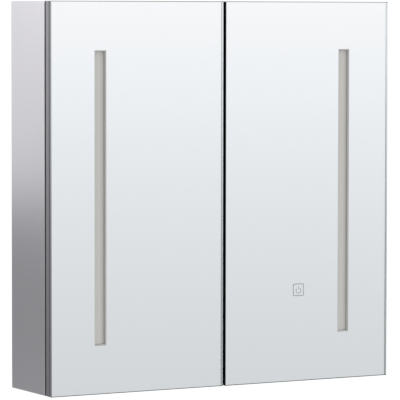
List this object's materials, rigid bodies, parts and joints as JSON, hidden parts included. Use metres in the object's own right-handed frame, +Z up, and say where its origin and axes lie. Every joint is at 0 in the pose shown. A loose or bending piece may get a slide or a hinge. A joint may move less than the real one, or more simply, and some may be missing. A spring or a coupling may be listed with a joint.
{
  "type": "mirror cabinet",
  "caption": "Wall-hung bathroom mirror cabinet with overlay mirror doors, frosted light strips, concealed hinges and glass shelves.",
  "frame": {"origin": "centre of the back face, on the wall plane", "axes": "+Y points into the wall, +Z is up and +X is to the right of someone facing the doors"},
  "size_m": [0.6, 0.14, 0.6],
  "materials": {
    "case_board": "board faced with satin aluminium-coloured foil",
    "back_board": "pale melamine",
    "door_board": "grey edged board",
    "mirror": "silvered glass",
    "shelf_glass": "clear, polished edges",
    "channel_aluminium": "anodised extrusion",
    "diffuser": "frosted",
    "circuit_board": "white solder mask",
    "foam": "black adhesive foam",
    "nickel": "nickel-plated",
    "steel": "zinc-plated",
    "white_plastic": "moulded",
    "black_plastic": "moulded",
    "lead_sheath": "pale sheath",
    "silicone": "translucent"
  },
  "bodies": {
    "case": {"back_panel": "back_board", "bottom_panel": "case_board", "cable_gland": "black_plastic", "electrics_cover": "white_plastic", "glass_shelf_lower": "shelf_glass", "glass_shelf_upper": "shelf_glass", "hanger_cover_left": "white_plastic", "hanger_cover_right": "white_plastic", "hanger_plate_left": "steel", "hanger_plate_right": "steel", "hinge_arm_left_lower": "nickel", "hinge_arm_left_upper": "nickel", "hinge_arm_right_lower": "nickel", "hinge_arm_right_upper": "nickel", "hinge_plate_left_lower": "nickel", "hinge_plate_left_upper": "nickel", "hinge_plate_right_lower": "nickel", "hinge_plate_right_upper": "nickel", "led_driver": "white_plastic", "led_lead_left": "lead_sheath", "led_lead_right": "lead_sheath", "shelf_pin_lower_left_front": "nickel", "shelf_pin_lower_left_rear": "nickel", "shelf_pin_lower_right_front": "nickel", "shelf_pin_lower_right_rear": "nickel", "shelf_pin_upper_left_front": "nickel", "shelf_pin_upper_left_rear": "nickel", "shelf_pin_upper_right_front": "nickel", "shelf_pin_upper_right_rear": "nickel", "side_panel_left": "case_board", "side_panel_right": "case_board", "terminal_block": "black_plastic", "top_panel": "case_board"},
    "left_door": {"bumper_left_lower": "silicone", "bumper_left_upper": "silicone", "door_board_left": "door_board", "hinge_cup_left_lower": "nickel", "hinge_cup_left_upper": "nickel", "hinge_pin_left_lower": "steel", "hinge_pin_left_upper": "steel", "inner_mirror_left": "mirror", "led_board_left": "circuit_board", "led_channel_left": "channel_aluminium", "led_diffuser_left": "diffuser", "mirror_bed_left": "foam", "mirror_left": "mirror"},
    "right_door": {"bumper_right_lower": "silicone", "bumper_right_upper": "silicone", "door_board_right": "door_board", "hinge_cup_right_lower": "nickel", "hinge_cup_right_upper": "nickel", "hinge_pin_right_lower": "steel", "hinge_pin_right_upper": "steel", "inner_mirror_right": "mirror", "led_board_right": "circuit_board", "led_channel_right": "channel_aluminium", "led_diffuser_right": "diffuser", "mirror_bed_right": "foam", "mirror_right": "mirror", "touch_sensor": "black_plastic"}
  },
  "joints": [
    {"name": "left_door_hinge", "type": "hinge", "parent": "case", "child": "left_door", "pos_m": [-0.2925, -0.128, 0], "axis": [0, 0, -1], "range_deg": [0, 100]},
    {"name": "right_door_hinge", "type": "hinge", "parent": "case", "child": "right_door", "pos_m": [0.2925, -0.128, 0], "axis": [0, 0, 1], "range_deg": [0, 100]}
  ]
}
